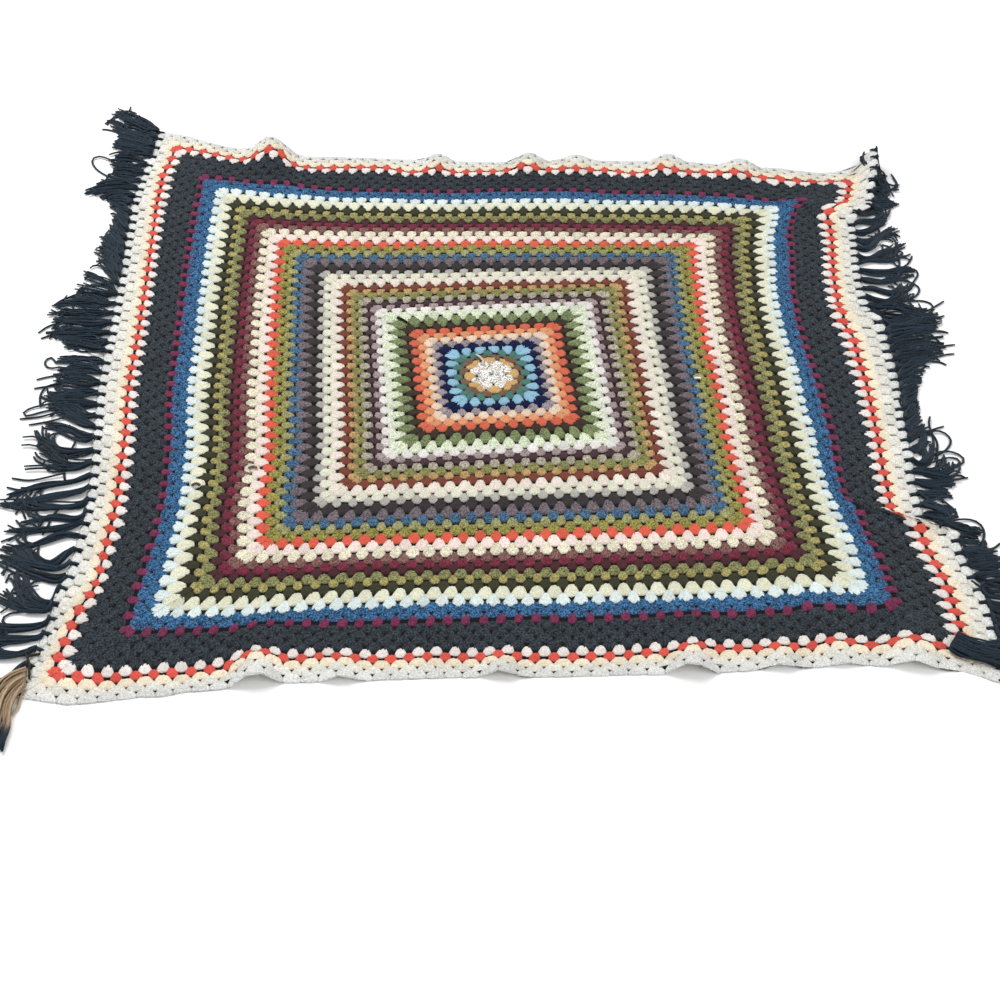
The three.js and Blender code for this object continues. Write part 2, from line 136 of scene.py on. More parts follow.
# How far the rounds of each side lie out of line: the place along the side, going
# anticlockwise, and the shift outward of rounds 32, 40, 43 and 49.
SIDE_SHIFTS = {
    "near": np.array([
        (-650, 5, 6, 3, 4), (-565, 5, 6, 3, 0), (-385, 5, 7, 0, 0), (-365, 5, 7, -3, -12),
        (-342, 5, 7, -9, -26), (-325, 5, 7, -10, -19), (-310, 5, 6, -8, -10),
        (-290, 5, 6, -3, -5), (-250, 5, 6, 1, -13), (-225, 5, 5, 1, -5), (-150, 5, 3, 1, -1),
        (-100, 5, 2, 1, -5), (-40, 5, 3, 1, 0), (45, 5, 4, -4, 2), (90, 5, 5, 4, 2),
        (165, 5, 6, 3, 2), (205, 5, 6, 3, -4), (242, 5, 6, -2, 1), (267, 5, 6, -2, -11),
        (300, 5, 6, 4, -6), (395, 5, 4, 4, -2), (425, 5, 3, -6, -3), (452, 5, 8, 0, -14),
        (480, 5, 13, 8, -10), (500, 5, 12, 10, -5), (540, 5, 10, 5, -15), (577, 5, 8, 4, -9),
        (650, 5, 8, 4, -5),
    ]),
    "right": np.array([
        (-530, -6, 4, 3, -2), (-450, -6, 4, 2, -5), (-390, -6, 3, -5, -5), (-345, -6, 3, 0, -5),
        (-300, -6, 4, 3, -1), (-240, -6, 9, 9, 2), (-195, -6, 7, 11, -1), (-150, -6, 4, 6, -2),
        (-100, -6, -4, 2, -2), (-30, -8, -4, 1, -4), (50, -9, -4, -4, -6), (110, -9, -7, -3, -4),
        (150, -9, -10, -8, -15), (185, -9, -10, -7, -5), (250, -9, -10, -6, -1),
        (350, -9, -9, -5, 0), (440, -9, -5, -4, 0), (520, -9, -5, -3, -6), (650, -9, -5, -3, 2),
    ]),
    "far": np.array([
        (-650, 1, 3, 0, -14), (-572, 1, 3, 0, -9), (-540, 1, 3, -2, 5), (-490, 1, 3, -2, 6),
        (-455, 1, 13, 12, -2), (-395, 1, 15, 12, 12), (-345, 1, 15, 13, 5), (-322, 1, 14, 13, -2),
        (-295, 1, 12, 10, 6), (-245, 1, 11, 9, -6), (-205, 1, 10, 8, 6), (-150, 1, 9, 8, -3),
        (-108, 1, 8, 8, 6), (-82, 1, 8, 4, -2), (-45, 0, 3, 0, 6), (-5, 0, 0, -4, -2),
        (30, 0, -3, -6, -3), (70, 0, -4, -10, -11), (105, 0, -4, -9, -4), (155, 0, -3, -9, -16),
        (200, 0, 0, -8, 2), (300, 0, 0, -6, -2), (340, 0, 1, -4, -6), (378, 0, 3, 7, -5),
        (405, 0, 4, 6, 9), (440, 0, 5, 2, -2), (540, 0, 5, 3, -6), (650, 0, 5, 3, -4),
    ]),
    "left": np.array([
        (-575, 8, 7, 4, 1), (-530, 8, 7, 5, 8), (-480, 8, 6, 6, 3), (-400, 8, 5, 5, -2),
        (-300, 8, 5, 5, -6), (-150, 8, 4, 2, -7), (0, 6, 2, -1, -8), (150, 5, 1, -2, -8),
        (235, 4, 4, 0, -3), (290, 0, -2, -1, -4), (350, -4, -12, -13, -5),
        (395, -4, -12, -16, -11), (435, -3, -7, -13, -18), (470, -2, -2, -7, -14),
        (520, 0, 1, -2, -1), (650, 0, 1, 0, 0),
    ]),
}
# The round where the shifts begin, the four of the tables, and the one where they end.
SHIFTED_ROUNDS = [25, 32, 40, 43, 49, 52]
# Share of the way to the corners from which a side's shifts fade out.
SHIFT_FADE = 0.75
# The first rounds are worked as circles: up to which round, over how many more they become
# square, and their radius as a share of the square's half side.
CIRCLE_ROUNDS = 2
SQUARING_ROUNDS = 5.5
CIRCLE_RADIUS = 1.1
NORMAL_STEP = 1.5


def smooth(t):
    """An eased step from 0 to 1."""
    s = np.clip(t, 0, 1)
    return s * s * (3 - 2 * s)


def around_of(x, y):
    """Place around the square, two to a side, anticlockwise from the near left corner."""
    ring = np.maximum(np.maximum(np.abs(x), np.abs(y)), 1e-9)
    sides = [-y >= np.abs(x), x >= np.abs(y), y >= np.abs(x)]
    return np.select(sides, [1 + x / ring, 3 + y / ring, 5 - x / ring], 7 - y / ring)


def outline_shift(around):
    """Shift of round 43 and of the last round, eased between the rows of the table."""
    around = np.mod(around, AROUND_END)
    index = np.clip(np.searchsorted(OUTLINE[:, 0], around, "right") - 1, 0, len(OUTLINE) - 2)
    before = OUTLINE[index]
    after = OUTLINE[index + 1]
    share = smooth((around - before[:, 0]) / (after[:, 0] - before[:, 0]))[:, None]
    row = before + (after - before) * share
    return row[:, 1:3], row[:, 3:5]


def laid(x, y):
    """Where flat points lie: an array of x, y and the height of the cloth's underside."""
    ring = np.maximum(np.abs(x), np.abs(y)) / HALF
    turn = TWIST * np.clip(1 - ring, 0, 1) ** TWIST_FADE
    place = np.stack([x * np.cos(turn) - y * np.sin(turn),
                      x * np.sin(turn) + y * np.cos(turn)], axis=1)
    mid, edge = outline_shift(around_of(x, y))
    outer = np.clip((ring - MID_RING) / (1 - MID_RING), 0, None)[:, None]
    inner = (np.minimum(ring / MID_RING, 1) ** INNER_POWER)[:, None]
    place += mid * inner + (edge - mid) * outer

    height = np.zeros_like(x)
    for side, at, half, lift, reach, slip, skew in FOLDS:
        out_x, out_y = OUTWARD[side]
        along = x if out_x == 0 else y
        depth = HALF - (x * out_x + y * out_y)
        fade = smooth(1 - depth / reach)
        from_crest = along - at - skew * depth
        crest = np.cos(np.pi * np.clip(from_crest / (2 * half), -0.5, 0.5)) ** 2
        height += lift * fade * crest
        pushed = slip * fade * smooth(0.5 - from_crest / half)
        place += np.stack([out_x * pushed, out_y * pushed], axis=1)
    return np.column_stack([place, height])


def gauged(x, y):
    """Flat points of an even square moved to where the rounds really lie in it."""
    ring = np.maximum(np.maximum(np.abs(x), np.abs(y)), 1e-9)
    round_at = ring / ROUND_HEIGHT
    scale = np.interp(round_at, np.arange(ROUNDS + 1), LINES) / np.minimum(ring, HALF)
    corner = np.hypot(x, y) / ring
    squaring = (round_at - CIRCLE_ROUNDS) / SQUARING_ROUNDS
    scale *= 1 + smooth(1 - squaring) * (CIRCLE_RADIUS / corner - 1)
    moved_x = x * scale + np.interp(round_at, MIDDLE_SHIFT[:, 0], MIDDLE_SHIFT[:, 1])
    moved_y = y * scale + np.interp(round_at, MIDDLE_SHIFT[:, 0], MIDDLE_SHIFT[:, 2])
    for side, table in SIDE_SHIFTS.items():
        out_x, out_y = OUTWARD[side]
        along = y * out_x - x * out_y
        facing = (x * out_x + y * out_y) / ring
        on_side = smooth((facing - SHIFT_FADE) / (1 - SHIFT_FADE))
        shift = np.zeros_like(ring)
        for column in range(1, table.shape[1]):
            share = np.zeros(len(SHIFTED_ROUNDS))
            share[column] = 1
            weight = np.interp(round_at, SHIFTED_ROUNDS, share)
            shift += weight * np.interp(along, table[:, 0], table[:, column])
        moved_x += out_x * shift * on_side
        moved_y += out_y * shift * on_side
    return moved_x, moved_y


def on_cloth(x, y, rise):
    """Laid places of flat points, raised from the underside along the cloth's normal."""
    place = laid(x, y)
    run_x = laid(x + NORMAL_STEP, y) - laid(x - NORMAL_STEP, y)
    run_y = laid(x, y + NORMAL_STEP) - laid(x, y - NORMAL_STEP)
    normal = np.cross(run_x, run_y)
    normal /= np.linalg.norm(normal, axis=1)[:, None]
    return place + normal * rise[:, None]


# ---- colours ----

ROUND_COLOURS = [
    "E0DFDA", "DDD9D2", "D0A871", "7A604B", "4F7B73", "8EBBD2", "04143F", "9A9096",
    "E8CFB8", "E09B6E", "D2674E", "3B3026", "768259", "D6DFC4", "E6E3DD", "A59394",
    "4A353A", "ADA594", "858351", "BC9A68", "7B4234", "E6DBCE", "E0DFCB", "B5B3AB",
    "373233", "6E6469", "466580", "9A9868", "908A48", "DB5F4A", "F0DDD4", "E4DDC4",
    "7D5A55", "742D3E", "4C2A2E", "828257", "A59C62", "3A3A2A", "DFDFC6", "DCE8E6",
    "356289", "375F86", "773151", "30373D", "30373D", "30373D", "30373D", "F0E8E2",
    "E05A4E", "F5E7CC", "E8E5DB", "E4E5E1",
]
FRINGE_COLOUR = "22303C"
# Strength of the flecks in the rounds of yarn spun of several shades, and in all others.
FLECKS = {
    1: 1.0, 2: 1.0, 8: 0.5, 13: 0.6, 14: 0.4, 16: 0.5, 18: 0.6, 19: 0.6, 20: 0.5, 26: 0.7,
    27: 1.0, 28: 0.6, 29: 0.8, 32: 0.4, 33: 0.8, 34: 0.6, 36: 0.8, 37: 0.6, 41: 1.3, 42: 1.3,
    43: 0.5, 44: 1.1, 45: 1.1, 46: 1.1, 47: 1.1, 51: 0.22, 52: 0.22,
}
PLAIN_FLECK = 0.15


def linear(code):
    """The linear colour of a hexadecimal one."""
    parts = np.array([int(code[i:i + 2], 16) / 255 for i in (0, 2, 4)])
    return np.where(parts <= 0.04045, parts / 12.92, ((parts + 0.055) / 1.055) ** 2.4)


# ---- meshes ----

# Free rim around each cell of the picture that a piece is baked to, as a share of it.
CELL_RIM = 0.06


def tubes(paths, half_widths, half_heights, sides):
    """Points of tubes along paths (tubes, stations, 3), as (tubes, stations, sides, 3)."""
    ups = np.zeros_like(paths)
    ups[..., 2] = 1
    run = np.empty_like(paths)
    run[:, 1:-1] = paths[:, 2:] - paths[:, :-2]
    run[:, 0] = paths[:, 1] - paths[:, 0]
    run[:, -1] = paths[:, -1] - paths[:, -2]
    across = np.cross(run, ups)
    across /= np.linalg.norm(across, axis=2)[..., None]
    over = np.cross(across, run)
    over /= np.linalg.norm(over, axis=2)[..., None]
    angle = 2 * np.pi * np.arange(sides) / sides + np.pi / 2
    ring_x = np.cos(angle)[None, None, :, None] * half_widths[..., None, None]
    ring_y = np.sin(angle)[None, None, :, None] * half_heights[..., None, None]
    return paths[:, :, None] + across[:, :, None] * ring_x + over[:, :, None] * ring_y


def tube_faces(stations, sides):
    """Quads and two end faces of one tube, and the spots of their corners in a square."""
    faces, spots = [], []
    for step in range(stations - 1):
        low, high = step / (stations - 1), (step + 1) / (stations - 1)
        for side in range(sides):
            a = step * sides + side
            b = step * sides + (side + 1) % sides
            faces.append([a, b, b + sides, a + sides])
            left, right = side / sides, (side + 1) / sides
            spots.append([(left, low), (right, low), (right, high), (left, high)])
    last = (stations - 1) * sides
    faces.append(list(range(sides))[::-1])
    spots.append([(side / sides, 0) for side in range(sides)][::-1])
    faces.append([last + side for side in range(sides)])
    spots.append([(side / sides, 1) for side in range(sides)])
    return faces, spots


def cell_corners(copies, window):
    """Low corners and size of equal cells that fill a window of the baked picture."""
    row = math.ceil(math.sqrt(copies))
    place = np.stack([np.arange(copies) % row, np.arange(copies) // row], axis=1)
    low, high = np.array(window[:2]), np.array(window[2:])
    cell = (high - low) / row
    return low + (place + CELL_RIM) * cell, cell * (1 - 2 * CELL_RIM)


def placed(name, data):
    """A new object of the scene."""
    made = bpy.data.objects.new(name, data)
    bpy.context.scene.collection.objects.link(made)
    return made


def build(name, points, template, colours, material, coords=None, flip=False,
          window=(0, 0, 1, 1)):
    """A mesh of many copies of one template, its faces and their spots.

    points are (copies, points, 3) in mm. colours hold the colour and fleck strength of each
    point, coords how far along and about its yarn it is.
    """
    copies, size = points.shape[:2]
    turn = -1 if flip else 1
    faces = [face[::turn] for face in template[0]]
    spots = np.array([spot for face in template[1] for spot in face[::turn]])
    loops_one = np.array([i for face in faces for i in face])
    sizes_one = np.array([len(face) for face in faces])
    loops = (loops_one[None] + size * np.arange(copies)[:, None]).ravel()
    sizes = np.tile(sizes_one, copies)
    starts = np.concatenate([[0], np.cumsum(sizes)[:-1]])
    mesh = bpy.data.meshes.new(name)
    mesh.vertices.add(copies * size)
    mesh.vertices.foreach_set("co", (points.reshape(-1, 3) * MM).astype(np.float32).ravel())
    mesh.loops.add(len(loops))
    mesh.loops.foreach_set("vertex_index", loops.astype(np.int32))
    mesh.polygons.add(len(sizes))
    mesh.polygons.foreach_set("loop_start", starts.astype(np.int32))
    mesh.update(calc_edges=True)
    mesh.validate()
    mesh.polygons.foreach_set("use_smooth", np.ones(len(mesh.polygons), bool))
    corners, cell = cell_corners(copies, window)
    places = corners[:, None] + spots[None] * cell
    mesh.uv_layers.new(name="OFBake").data.foreach_set("uv", places.astype(np.float32).ravel())
    colour = mesh.attributes.new("yarn", "FLOAT_COLOR", "POINT")
    rgba = colours.reshape(copies * size, 4).astype(np.float32)
    colour.data.foreach_set("color", rgba.ravel())
    if coords is not None:
        lie = mesh.attributes.new("lie", "FLOAT_VECTOR", "POINT")
        lie.data.foreach_set("vector", coords.reshape(-1, 3).astype(np.float32).ravel())
    mesh.materials.append(material)
    return placed(name, mesh)


# ---- materials ----

# Noise in the yarn, in waves per metre: patches of dye, flecks, single fibres and stitches.
PATCH_SCALE = 260.0
FLECK_SCALE = 430.0
FIBRE_SCALE = 1500.0
STITCH_SCALE = 230.0
FLECK_CONTRAST = 5.0
DARKEST_FLECK = 0.25
# The twist of a yarn of three plies: its turns in a mm, and the angle of their waves a turn.
PLY_TURNS = 0.33
PLY_ANGLE = 6 * math.pi
FIBRE_FUZZ = 1.2
YARN_BUMP = 0.0004
GAP_FIBRE_SCALE = 700.0


def nodes_of(material):
    """The emptied node tree of a material or a world."""
    material.use_nodes = True
    tree = material.node_tree
    tree.nodes.clear()
    return tree


def node(tree, kind, inputs=None, **settings):
    """A new node with its inputs set to values or linked to sockets."""
    made = tree.nodes.new(kind)
    for key, value in settings.items():
        setattr(made, key, value)
    for key, value in (inputs or {}).items():
        socket = made.inputs[key]
        if isinstance(value, bpy.types.NodeSocket):
            tree.links.new(value, socket)
        else:
            socket.default_value = value
    return made


def maths(tree, operation, *values):
    return node(tree, "ShaderNodeMath", dict(enumerate(values)), operation=operation).outputs[0]


def noise(tree, place, scale, detail):
    inputs = {"Vector": place, "Scale": scale, "Detail": detail}
    return node(tree, "ShaderNodeTexNoise", inputs).outputs[0]


def finish_surface(tree, inputs):
    """A principled surface with these inputs, on the output of its material."""
    surface = node(tree, "ShaderNodeBsdfPrincipled", inputs)
    node(tree, "ShaderNodeOutputMaterial", {"Surface": surface.outputs[0]})


def yarn_material(name, heather, sheen, stitch):
    """Twisted yarn: the colour of the 'yarn' attribute with heathered fibres and a ply twist.

    The alpha of 'yarn' is the strength of the flecks, and 'lie' holds how far along the yarn
    and how far about it a point is. heather is the strength of the fibres' mottle, stitch the
    depth of the uneven stitches in metres.
    """
    material = bpy.data.materials.new(name)
    tree = nodes_of(material)
    place = node(tree, "ShaderNodeTexCoord").outputs["Object"]
    dye = node(tree, "ShaderNodeAttribute", attribute_name="yarn")
    yarn, fleck = dye.outputs["Color"], dye.outputs["Alpha"]
    lie = node(tree, "ShaderNodeAttribute", attribute_name="lie").outputs["Vector"]
    split = node(tree, "ShaderNodeSeparateXYZ", {0: lie})
    along, about = split.outputs[0], split.outputs[1]

    patches = noise(tree, place, PATCH_SCALE, 3.0)
    fibres = noise(tree, place, FIBRE_SCALE, 2.0)
    mottle = maths(tree, "MULTIPLY_ADD", patches, 2 * heather, 1 - heather)
    fine = maths(tree, "MULTIPLY_ADD", fibres, heather, 1 - heather / 2)
    spots = noise(tree, place, FLECK_SCALE, 2.0)
    spotted = maths(tree, "MULTIPLY", maths(tree, "SUBTRACT", spots, 0.5), fleck)
    specks = maths(tree, "MULTIPLY_ADD", spotted, FLECK_CONTRAST, 1.0)
    shade = maths(tree, "MULTIPLY", maths(tree, "MULTIPLY", mottle, fine),
                  maths(tree, "MAXIMUM", specks, DARKEST_FLECK))
    colour = node(tree, "ShaderNodeVectorMath", {0: yarn}, operation="SCALE")
    tree.links.new(shade, colour.inputs["Scale"])

    turns = maths(tree, "MULTIPLY_ADD", along, PLY_TURNS, about)
    ply = maths(tree, "SINE", maths(tree, "MULTIPLY", turns, PLY_ANGLE))
    fuzz = maths(tree, "MULTIPLY_ADD", fibres, FIBRE_FUZZ, ply)
    stitches = noise(tree, place, STITCH_SCALE, 1.0)
    rough = node(tree, "ShaderNodeBump", {
        "Height": stitches, "Strength": 0.8, "Distance": stitch})
    bump = node(tree, "ShaderNodeBump", {
        "Height": fuzz, "Strength": 0.6, "Distance": YARN_BUMP, "Normal": rough.outputs[0]})
    finish_surface(tree, {
        "Base Color": colour.outputs[0], "Roughness": 0.92, "Sheen Weight": sheen,
        "Sheen Roughness": 0.5, "Specular IOR Level": 0.15, "Normal": bump.outputs[0]})
    return material


def painted_shade_material():
    """Painted shade behind the gaps of the crochet: a near-black sheet where only shadow falls.
    """
    material = bpy.data.materials.new("gap_painted_shade")
    tree = nodes_of(material)
    place = node(tree, "ShaderNodeTexCoord").outputs["Object"]
    fibres = noise(tree, place, GAP_FIBRE_SCALE, 3.0)
    # Near-black painted shade, mottled by the fibre noise.
    ramp = node(tree, "ShaderNodeValToRGB", {"Fac": fibres})
    ramp.color_ramp.elements[0].color = (0.004, 0.004, 0.005, 1)
    ramp.color_ramp.elements[1].color = (0.016, 0.014, 0.013, 1)
    bump = node(tree, "ShaderNodeBump", {
        "Height": fibres, "Strength": 0.5, "Distance": 0.0005})
    finish_surface(tree, {
        "Base Color": ramp.outputs[0], "Roughness": 0.95, "Specular IOR Level": 0.1,
        "Normal": bump.outputs[0]})
    return material


CROCHET = yarn_material("crochet_yarn", heather=0.12, sheen=0.04, stitch=0.004)
TASSEL = yarn_material("fringe_yarn", heather=0.3, sheen=0.1, stitch=0.0008)
# Painted shade for the sheet seen through the gaps.
PAINTED_SHADE = painted_shade_material()

# ---- the crochet: clusters of three posts ----

# Stations of a cluster from foot to top: how far outward, its half width as a share of the
# foot's and the top's (mixed by FOOT_SHARE), crest of its posts, outward bow of its middle.
CLUSTER = np.array([
    (-5.0, 0.62, 1.5, -1.4),
    (-2.6, 0.92, 3.7, -1.8),
    (1.6, 1.0, 4.8, -1.2),
    (6.4, 1.0, 4.7, 0.4),
    (11.0, 1.0, 4.0, 1.6),
    (14.0, 0.8, 1.9, 2.2),
])
FOOT_SHARE = np.array([1, 0.95, 0.6, 0.14, 0, 0])
FOOT_HALF = 6.2
TOP_HALF = 11.4
# Points across a section: side, share of the crest; three posts and the two grooves between.
SECTION = np.array([
    (-1, 0.1), (-0.72, 0.86), (-0.36, 0.6), (0, 1), (0.36, 0.6), (0.72, 0.86), (1, 0.1),
    (0.7, -0.2), (-0.7, -0.2),
])
CLUSTER_BASE = 0.9
FIRST_RING = 2.0
# A side's end clusters crowd into its corners: how far past the diagonal they may reach, the
# share of the rest that is taken back, how far their feet slide, and up to where outward.
CORNER_LIMIT = 1.2
CORNER_EASE = 0.9
CORNER_FOOT = 3.2
CORNER_FOOT_END = 14
# Rounds drawn in by the feet of the next one, as a share of the full width.
NARROW = {4: 0.85, 5: 0.85, 8: 0.9, 12: 0.8, 16: 0.8, 17: 0.75, 18: 0.8, 20: 0.8, 24: 0.75,
          28: 0.8, 33: 0.9, 35: 0.75, 37: 0.7, 38: 0.85, 43: 0.64, 47: 0.95, 48: 0.84, 49: 0.78}
# How much less far out and high a narrow round is, and how much wider the feet over it.
NARROW_REACH = 0.45
NARROW_CREST = 0.2
FEET_OVER_NARROW = 0.7
# Rounds worked so closely that their clusters run together, by how much.
CLOSE = {
    39: 0.3, 41: 0.75, 42: 0.75, 44: 0.65, 45: 0.65, 46: 0.65, 47: 0.5, 50: 0.7, 51: 0.95,
    52: 1.0,
}
# The form of a wholly close cluster: half widths of its foot and top, how square its sides
# are, and how much less bowed, far out and high it is.
CLOSE_FOOT = 8.4
CLOSE_TOP = 14.6
CLOSE_SQUARE = 0.8
CLOSE_BOW = -0.7
CLOSE_REACH = 0.14
CLOSE_CREST = 0.12
# The same for the last rounds of the sides with a fringe. From FIRST_LOBED on they bow out
# in lobes, and those of the last round have short feet and stand further out.
LOBED_CLOSE = {50: 0.95, 51: 0.4, 52: 0.1}
LOBED_FOOT = {51: 11.5}
LOBED_BOW = 1.3
FIRST_LOBED = 51
LOBE_FOOT = 0.2
LOBE_SHIFT = 1.5
# Chance differences between clusters: of width, of each post outward, of rise, lean, place
# along and place outward, and of the shade of their yarn.
WIDTH_CHANCE = 0.05
POST_CHANCE = 0.3
RISE_CHANCE = 0.05
LEAN_CHANCE = 0.05
ALONG_CHANCE = 0.5
OUTWARD_CHANCE = 0.4
SHADE_CHANCE = 0.045
PLY_ACROSS = 1.5


def side_place(side, along, radial):
    """Flat x and y for a place on a side, the sides going anticlockwise from the near one."""
    turned = [(along, -radial), (radial, along), (-along, radial), (-radial, -along)]
    return turned[side]


def cluster_shapes(number, lobed):
    """Clusters of one side of a round: across, outward and rise of their points."""
    width = NARROW.get(number, 1)
    close = CLOSE.get(number, 0)
    if lobed:
        close = LOBED_CLOSE.get(number, close)
    foot = FOOT_HALF * (1 + FEET_OVER_NARROW * (1 - NARROW.get(number - 1, 1)))
    foot += (CLOSE_FOOT - foot) * close
    if lobed:
        foot = LOBED_FOOT.get(number, foot)
    top = TOP_HALF * width + (CLOSE_TOP - TOP_HALF) * close
    shares = CLUSTER[:, 1] + (1 - CLUSTER[:, 1]) * CLOSE_SQUARE * close
    halves = (FOOT_SHARE * foot + (1 - FOOT_SHARE) * top) * shares
    across = np.tile(halves[:, None] * SECTION[:, 0], (number, 1, 1))
    across *= 1 + chance.normal(0, WIDTH_CHANCE * (1 - close), (number, 1, 1))

    more_bow = LOBED_BOW if lobed and number >= FIRST_LOBED else CLOSE_BOW
    bow = CLUSTER[:, 3, None] * (1 + more_bow * close)
    beyond = (1 - NARROW_REACH) + NARROW_REACH * width
    beyond *= 1 if lobed else 1 - CLOSE_REACH * close
    last_lobes = lobed and number == ROUNDS
    behind = LOBE_FOOT if last_lobes else 1
    reach = CLUSTER[:, 0, None] * np.where(CLUSTER[:, 0, None] > 0, beyond, behind)
    reach += LOBE_SHIFT * last_lobes
    outward = np.tile(reach + bow * (1 - SECTION[:, 0] ** 2), (number, 1, 1))
    outward += chance.normal(0, POST_CHANCE, (number, 1, len(SECTION)))

    crest = CLUSTER[:, 2] * ((1 - NARROW_CREST) + NARROW_CREST * width)
    crest *= 1 - CLOSE_CREST * close
    rise = CLUSTER_BASE + (crest[:, None] - CLUSTER_BASE) * SECTION[:, 1]
    rise = np.tile(rise, (number, 1, 1)) * (1 + chance.normal(0, RISE_CHANCE, (number, 1, 1)))

    lean = chance.normal(0, LEAN_CHANCE * (1 - close), (number, 1, 1))
    across += lean * outward + chance.normal(0, ALONG_CHANCE * (1 - close), (number, 1, 1))
    outward += chance.normal(0, OUTWARD_CHANCE, (number, 1, 1))
    for sign, place in ((-1, 0), (1, number - 1)):
        slide = np.clip(1 - outward[place] / CORNER_FOOT_END, 0, 1)
        across[place] -= sign * CORNER_FOOT * slide
        excess = sign * across[place] - (outward[place] + CORNER_LIMIT)
        across[place] -= sign * np.clip(excess, 0, None) * CORNER_EASE
    return across, outward, rise


def rounds_piece(name, first, last):
    """One mesh of the clusters of several rounds."""
    points, colours = [], []
    for number in range(first, last + 1):
        base = linear(ROUND_COLOURS[number - 1])
        fleck = FLECKS.get(number, PLAIN_FLECK)
        centres = (np.arange(number) - (number - 1) / 2) * PITCH
        for side in range(4):
            across, outward, rise = cluster_shapes(number, lobed=side in (1, 3))
            along = across + centres[:, None, None]
            radial = np.maximum(outward + (number - 1) * ROUND_HEIGHT, FIRST_RING)
            flat_x, flat_y = side_place(side, along.ravel(), radial.ravel())
            laid_points = on_cloth(*gauged(flat_x, flat_y), rise.ravel())
            points.append(laid_points.reshape(number, -1, 3))
            tint = base * (1 + chance.normal(0, SHADE_CHANCE, (number, 1)))
            colours.append(np.column_stack([tint, np.full(number, fleck)]))
    points = np.concatenate(points)
    colours = np.concatenate(colours)
    stations, sides = len(CLUSTER), len(SECTION)
    tint = np.repeat(colours, stations * sides, axis=0)
    coords = np.zeros((len(points), stations, sides, 3))
    coords[..., 0] = CLUSTER[:, 0][None, :, None]
    coords[..., 1] = PLY_ACROSS * SECTION[:, 0][None, None, :]
    return build(name, points, tube_faces(stations, sides), tint, CROCHET, coords, flip=True)


BANDS = [("rounds_inner", 1, 25), ("rounds_second", 26, 35), ("rounds_third", 36, 43),
         ("rounds_charcoal", 44, 49), ("rounds_border", 50, 52)]
bands = [rounds_piece(name, first, last) for name, first, last in BANDS]

# ---- a sheet of painted shade behind the gaps ----

SHADE_SHEET_CELLS = 130
SHADE_SHEET_INSET = 2.5
SHADE_SHEET_RISE = 1.6
SHADE_SHEET_GREY = 0.01


def shade_sheet_piece():
    """One near-black sheet of painted shade on the folds of the cloth, just under the clusters.
    """
    line = np.linspace(-HALF + SHADE_SHEET_INSET, HALF - SHADE_SHEET_INSET, SHADE_SHEET_CELLS + 1)
    flat_x, flat_y = (grid.ravel() for grid in np.meshgrid(line, line))
    points = on_cloth(flat_x, flat_y, np.full(flat_x.shape, SHADE_SHEET_RISE))
    row = SHADE_SHEET_CELLS + 1
    faces = [[j * row + i, j * row + i + 1, (j + 1) * row + i + 1, (j + 1) * row + i]
             for j in range(SHADE_SHEET_CELLS) for i in range(SHADE_SHEET_CELLS)]
    spots = [[(at % row / SHADE_SHEET_CELLS, at // row / SHADE_SHEET_CELLS) for at in face]
             for face in faces]
    # Its colour attribute is near-black painted shade as well.
    grey = np.full((len(points), 4), SHADE_SHEET_GREY)
    return build("shade_sheet", points[None], (faces, spots), grey, PAINTED_SHADE)


shade_sheet = shade_sheet_piece()

# ---- the fringes: a knotted tassel in each gap of the last round ----

CORNER_INSET = 5
EDGE_STEP = 2
STRANDS = 16
STRAND_SIDES = 4
STRAND_STEPS = 12
STRAND_RADIUS = 2.0
ALONG = np.linspace(0, 1, STRAND_STEPS + 1)
TAPER = np.interp(ALONG, [0, 0.1, 0.9, 1], [0.9, 1, 1, 0.85]) * STRAND_RADIUS
STRAND_FORM = (TAPER, TAPER, STRAND_SIDES)

# How the tassels lie, by the flat Y of their knots: the place of their middles and of their
# tips from the knot, each as a distance away from the cloth and a distance to +Y.
FRINGE_LEFT = np.array([
    (-650, 26, -40, 44, -120), (-615, 24, -14, 62, -30), (-554, 25, -8, 90, -8),
    (-521, 20, -18, 92, -20), (-499, 25, -13, 98, 14), (-468, 26, -13, 104, 48),
    (-443, 45, 2, 118, 27), (-410, 32, -22, 115, 6), (-388, 39, -14, 116, -4),
    (-359, 46, -17, 119, -21), (-342, 35, -16, 107, -26), (-313, 38, -25, 117, -5),
    (-284, 28, -20, 118, -24), (-266, 46, -16, 121, -37), (-232, 49, -19, 105, -45),
    (-222, 54, 3, 99, 42), (-205, 54, 3, 96, 44), (-195, 51, -3, 85, 56), (-175, 36, 22, 84, 46),
    (-144, 39, 23, 90, 41), (-118, 46, 9, 85, 32), (-93, 39, 4, 94, 17), (-62, 37, 5, 87, 11),
    (-36, 29, 11, 79, 14), (-5, 38, 7, 88, 12), (19, 43, 13, 75, 9), (51, 46, 1, 94, 20),
    (92, 51, 4, 114, 1), (114, 49, -1, 116, 8), (159, 47, 1, 95, -1), (204, 28, 43, 53, 88),
    (249, 30, 42, 50, 69), (299, 26, 24, 44, 49), (349, 19, 26, 32, 58), (398, 23, 18, 44, 35),
    (433, 34, 14, 52, 9), (472, 58, 10, 98, -6), (501, 46, 9, 67, 11), (539, 44, 6, 71, 11),
    (574, 51, 23, 87, 18), (590, 50, 27, 80, 38), (605, 53, 30, 94, 52), (625, 50, 33, 102, 62),
    (649, 35, 33, 85, 69),
])
